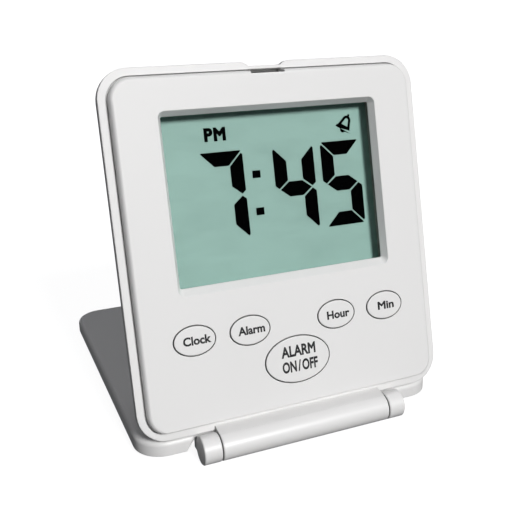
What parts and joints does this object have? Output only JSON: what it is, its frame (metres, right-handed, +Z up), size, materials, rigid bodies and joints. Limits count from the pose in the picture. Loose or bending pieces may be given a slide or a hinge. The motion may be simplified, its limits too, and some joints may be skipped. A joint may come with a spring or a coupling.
{
  "type": "folding travel alarm clock",
  "caption": "Clamshell travel alarm clock with a recessed digital display and oval keys, leaning on its fold-round cover",
  "frame": {"origin": "on the table, below the middle of the clock and its opened cover", "axes": "+X to the right of the person reading the clock, +Y away from the reader, +Z up"},
  "size_m": [0.0846, 0.0966, 0.0928],
  "materials": {
    "case_plastic": "satin white",
    "cover_plastic": "satin white",
    "key_plastic": "satin white with printed labels",
    "clear_lens": "clear",
    "lcd_glass": "clear",
    "lcd_reflector": "grey-green",
    "frame_plastic": "moulded",
    "zebra_rubber": "striped",
    "keypad_rubber": "moulded",
    "carbon_pill": "matt",
    "circuit_board": "solder mask",
    "black_epoxy": "cast",
    "capacitor_ceramic": "fired",
    "plated_steel": "zinc plated",
    "cell_steel": "nickel plated",
    "contact_brass": "bright",
    "buzzer_ceramic": "silvered",
    "wire_red": "pvc",
    "wire_black": "pvc"
  },
  "bodies": {
    "clock": {"front_case": "case_plastic", "rear_case": "case_plastic", "window_lens": "clear_lens", "lcd_front_glass": "lcd_glass", "lcd_rear_glass": "lcd_glass", "lcd_reflector": "lcd_reflector", "lcd_frame": "frame_plastic", "zebra_strip_upper": "zebra_rubber", "zebra_strip_lower": "zebra_rubber", "keypad_mat": "keypad_rubber", "pill_clock": "carbon_pill", "pill_alarm": "carbon_pill", "pill_alarm_on_off": "carbon_pill", "pill_hour": "carbon_pill", "pill_min": "carbon_pill", "circuit_board": "circuit_board", "clock_chip": "black_epoxy", "resistor_1": "black_epoxy", "resistor_2": "black_epoxy", "capacitor_1": "capacitor_ceramic", "capacitor_2": "capacitor_ceramic", "case_screw_1": "plated_steel", "case_screw_2": "plated_steel", "case_screw_3": "plated_steel", "case_screw_4": "plated_steel", "board_screw_1": "plated_steel", "board_screw_2": "plated_steel", "board_screw_3": "plated_steel", "crystal": "plated_steel", "coin_cell": "cell_steel", "battery_contact_positive": "contact_brass", "battery_contact_negative": "contact_brass", "buzzer_disc": "contact_brass", "buzzer_ceramic": "buzzer_ceramic", "buzzer_wire_1": "wire_red", "battery_wire_1": "wire_red", "buzzer_wire_2": "wire_black", "battery_wire_2": "wire_black"},
    "cover": {"cover": "cover_plastic", "hinge_pin_left": "plated_steel", "hinge_pin_right": "plated_steel"},
    "battery_door": {"battery_door": "case_plastic"},
    "key_clock": {"key_clock": "key_plastic"},
    "key_alarm": {"key_alarm": "key_plastic"},
    "key_alarm_on_off": {"key_alarm_on_off": "key_plastic"},
    "key_hour": {"key_hour": "key_plastic"},
    "key_min": {"key_min": "key_plastic"}
  },
  "joints": [
    {"name": "cover_hinge", "type": "hinge", "parent": "clock", "child": "cover", "pos_m": [0, -0.04462, 0.00363], "axis": [-1, 0, 0], "range_deg": [0, 283.6]},
    {"name": "battery_door_turn", "type": "hinge", "parent": "clock", "child": "battery_door", "pos_m": [-0.0165, -0.01418, 0.05852], "axis": [0, 0.9659, -0.2588], "range_deg": [0, 40]},
    {"name": "key_clock_press", "type": "slide", "parent": "clock", "child": "key_clock", "axis": [0, 0.9659, -0.2588], "range_m": [0, 0.0007], "stiffness_N_per_m": 800},
    {"name": "key_alarm_press", "type": "slide", "parent": "clock", "child": "key_alarm", "axis": [0, 0.9659, -0.2588], "range_m": [0, 0.0007], "stiffness_N_per_m": 800},
    {"name": "key_alarm_on_off_press", "type": "slide", "parent": "clock", "child": "key_alarm_on_off", "axis": [0, 0.9659, -0.2588], "range_m": [0, 0.0007], "stiffness_N_per_m": 800},
    {"name": "key_hour_press", "type": "slide", "parent": "clock", "child": "key_hour", "axis": [0, 0.9659, -0.2588], "range_m": [0, 0.0007], "stiffness_N_per_m": 800},
    {"name": "key_min_press", "type": "slide", "parent": "clock", "child": "key_min", "axis": [0, 0.9659, -0.2588], "range_m": [0, 0.0007], "stiffness_N_per_m": 800}
  ]
}
